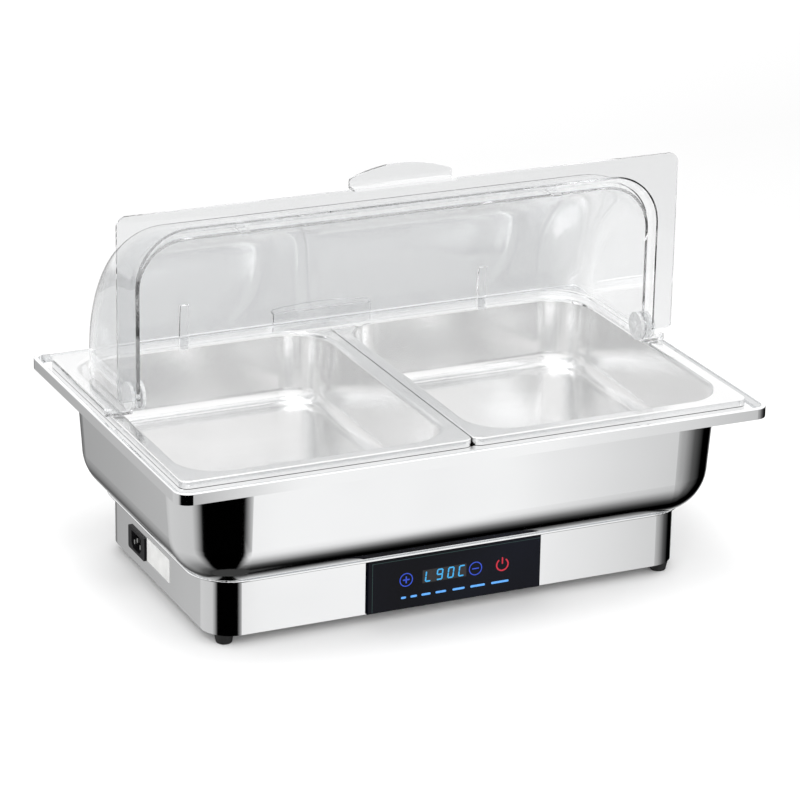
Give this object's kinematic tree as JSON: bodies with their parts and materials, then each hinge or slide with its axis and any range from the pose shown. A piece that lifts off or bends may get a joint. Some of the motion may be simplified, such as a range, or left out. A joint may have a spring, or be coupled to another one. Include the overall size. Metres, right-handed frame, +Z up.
{
  "type": "electric buffet warmer",
  "caption": "Electric buffet warmer: polished water tub on a heated base with touch panel, lift-out food pans and a clear roll-top cover",
  "frame": {"origin": "on the table, under the centre of the rim", "axes": "+X along the length, front is -Y, +Z up"},
  "size_m": [0.5524, 0.3674, 0.3705],
  "materials": {
    "polished_steel": "mirror-polished stainless sheet",
    "satin_steel": "satin stainless sheet",
    "clear_plastic": "clear polished polycarbonate",
    "black_glass": "black printed glass with a ground edge",
    "black_plastic": "moulded, fine grain",
    "rubber": "moulded rubber",
    "zinc_steel": "zinc-plated fasteners",
    "aluminium": "rolled plate",
    "heater_sheath": "oxidised heater sheath",
    "ceramic": "glazed ceramic",
    "insulation": "pressed fibre",
    "brass": "plain brass",
    "circuit_board": "green solder mask",
    "display_plastic": "dark display window",
    "relay_plastic": "blue moulded case",
    "transformer_plastic": "wound core with yellow tape",
    "terminal_plastic": "green moulded block",
    "cable_black": "rubber sheath",
    "silicone_lead": "glass-braided silicone lead",
    "earth_sheath": "green and yellow sheath",
    "plate_metal": "bare satin plate"
  },
  "bodies": {
    "base": {"base_nuts": "zinc_steel", "base_skirt": "polished_steel", "base_studs": "zinc_steel", "board_screws": "zinc_steel", "board_spacers": "brass", "bottom_plate": "satin_steel", "bottom_plate_screws": "zinc_steel", "cable_clips": "black_plastic", "clamp_bars": "zinc_steel", "clamp_nuts": "zinc_steel", "control_glass": "black_glass", "cutout_bracket": "zinc_steel", "display_board": "circuit_board", "display_cable": "cable_black", "display_module": "display_plastic", "earth_lead": "earth_sheath", "earth_stud": "brass", "element_ceramics": "ceramic", "element_terminals": "zinc_steel", "foot_front_left": "rubber", "foot_front_right": "rubber", "foot_nuts": "zinc_steel", "foot_rear_left": "rubber", "foot_rear_right": "rubber", "foot_screws": "zinc_steel", "fuse": "ceramic", "heat_shield": "satin_steel", "heat_spreader": "aluminium", "heater_leads": "silicone_lead", "heater_studs": "zinc_steel", "heating_element": "heater_sheath", "inlet_boot": "black_plastic", "inlet_housing": "black_plastic", "inlet_pins": "zinc_steel", "insulation_pad": "insulation", "mains_lead": "cable_black", "panel_housing": "black_plastic", "power_board": "circuit_board", "probe_clip": "zinc_steel", "probe_lead": "silicone_lead", "rating_plate": "plate_metal", "relay": "relay_plastic", "shield_nuts": "zinc_steel", "temperature_probe": "satin_steel", "terminal_block": "terminal_plastic", "thermal_cutout": "ceramic", "touch_springs": "zinc_steel", "transformer": "transformer_plastic", "water_tub": "polished_steel"},
    "left_pan": {"food_pan_left": "satin_steel"},
    "right_pan": {"food_pan_right": "satin_steel"},
    "rear_half": {"cover_rear": "clear_plastic", "pivot_rivet_left": "clear_plastic", "pivot_rivet_right": "clear_plastic"},
    "front_half": {"cover_front": "clear_plastic"}
  },
  "joints": [
    {"name": "cover_lift", "type": "slide", "parent": "base", "child": "rear_half", "axis": [0, 0, 1], "range_m": [0, 0.3]},
    {"name": "cover_roll", "type": "hinge", "parent": "rear_half", "child": "front_half", "pos_m": [0, 0, 0.189], "axis": [1, 0, 0], "range_deg": [0, 90]},
    {"name": "pan_left_lift", "type": "slide", "parent": "base", "child": "left_pan", "axis": [0, 0, 1], "range_m": [0, 0.12]},
    {"name": "pan_right_lift", "type": "slide", "parent": "base", "child": "right_pan", "axis": [0, 0, 1], "range_m": [0, 0.12]}
  ],
  "couplings": [
    {"joint": "pan_left_lift", "follows": "cover_lift", "ratio": 0.4},
    {"joint": "pan_right_lift", "follows": "cover_lift", "ratio": 0.4}
  ]
}
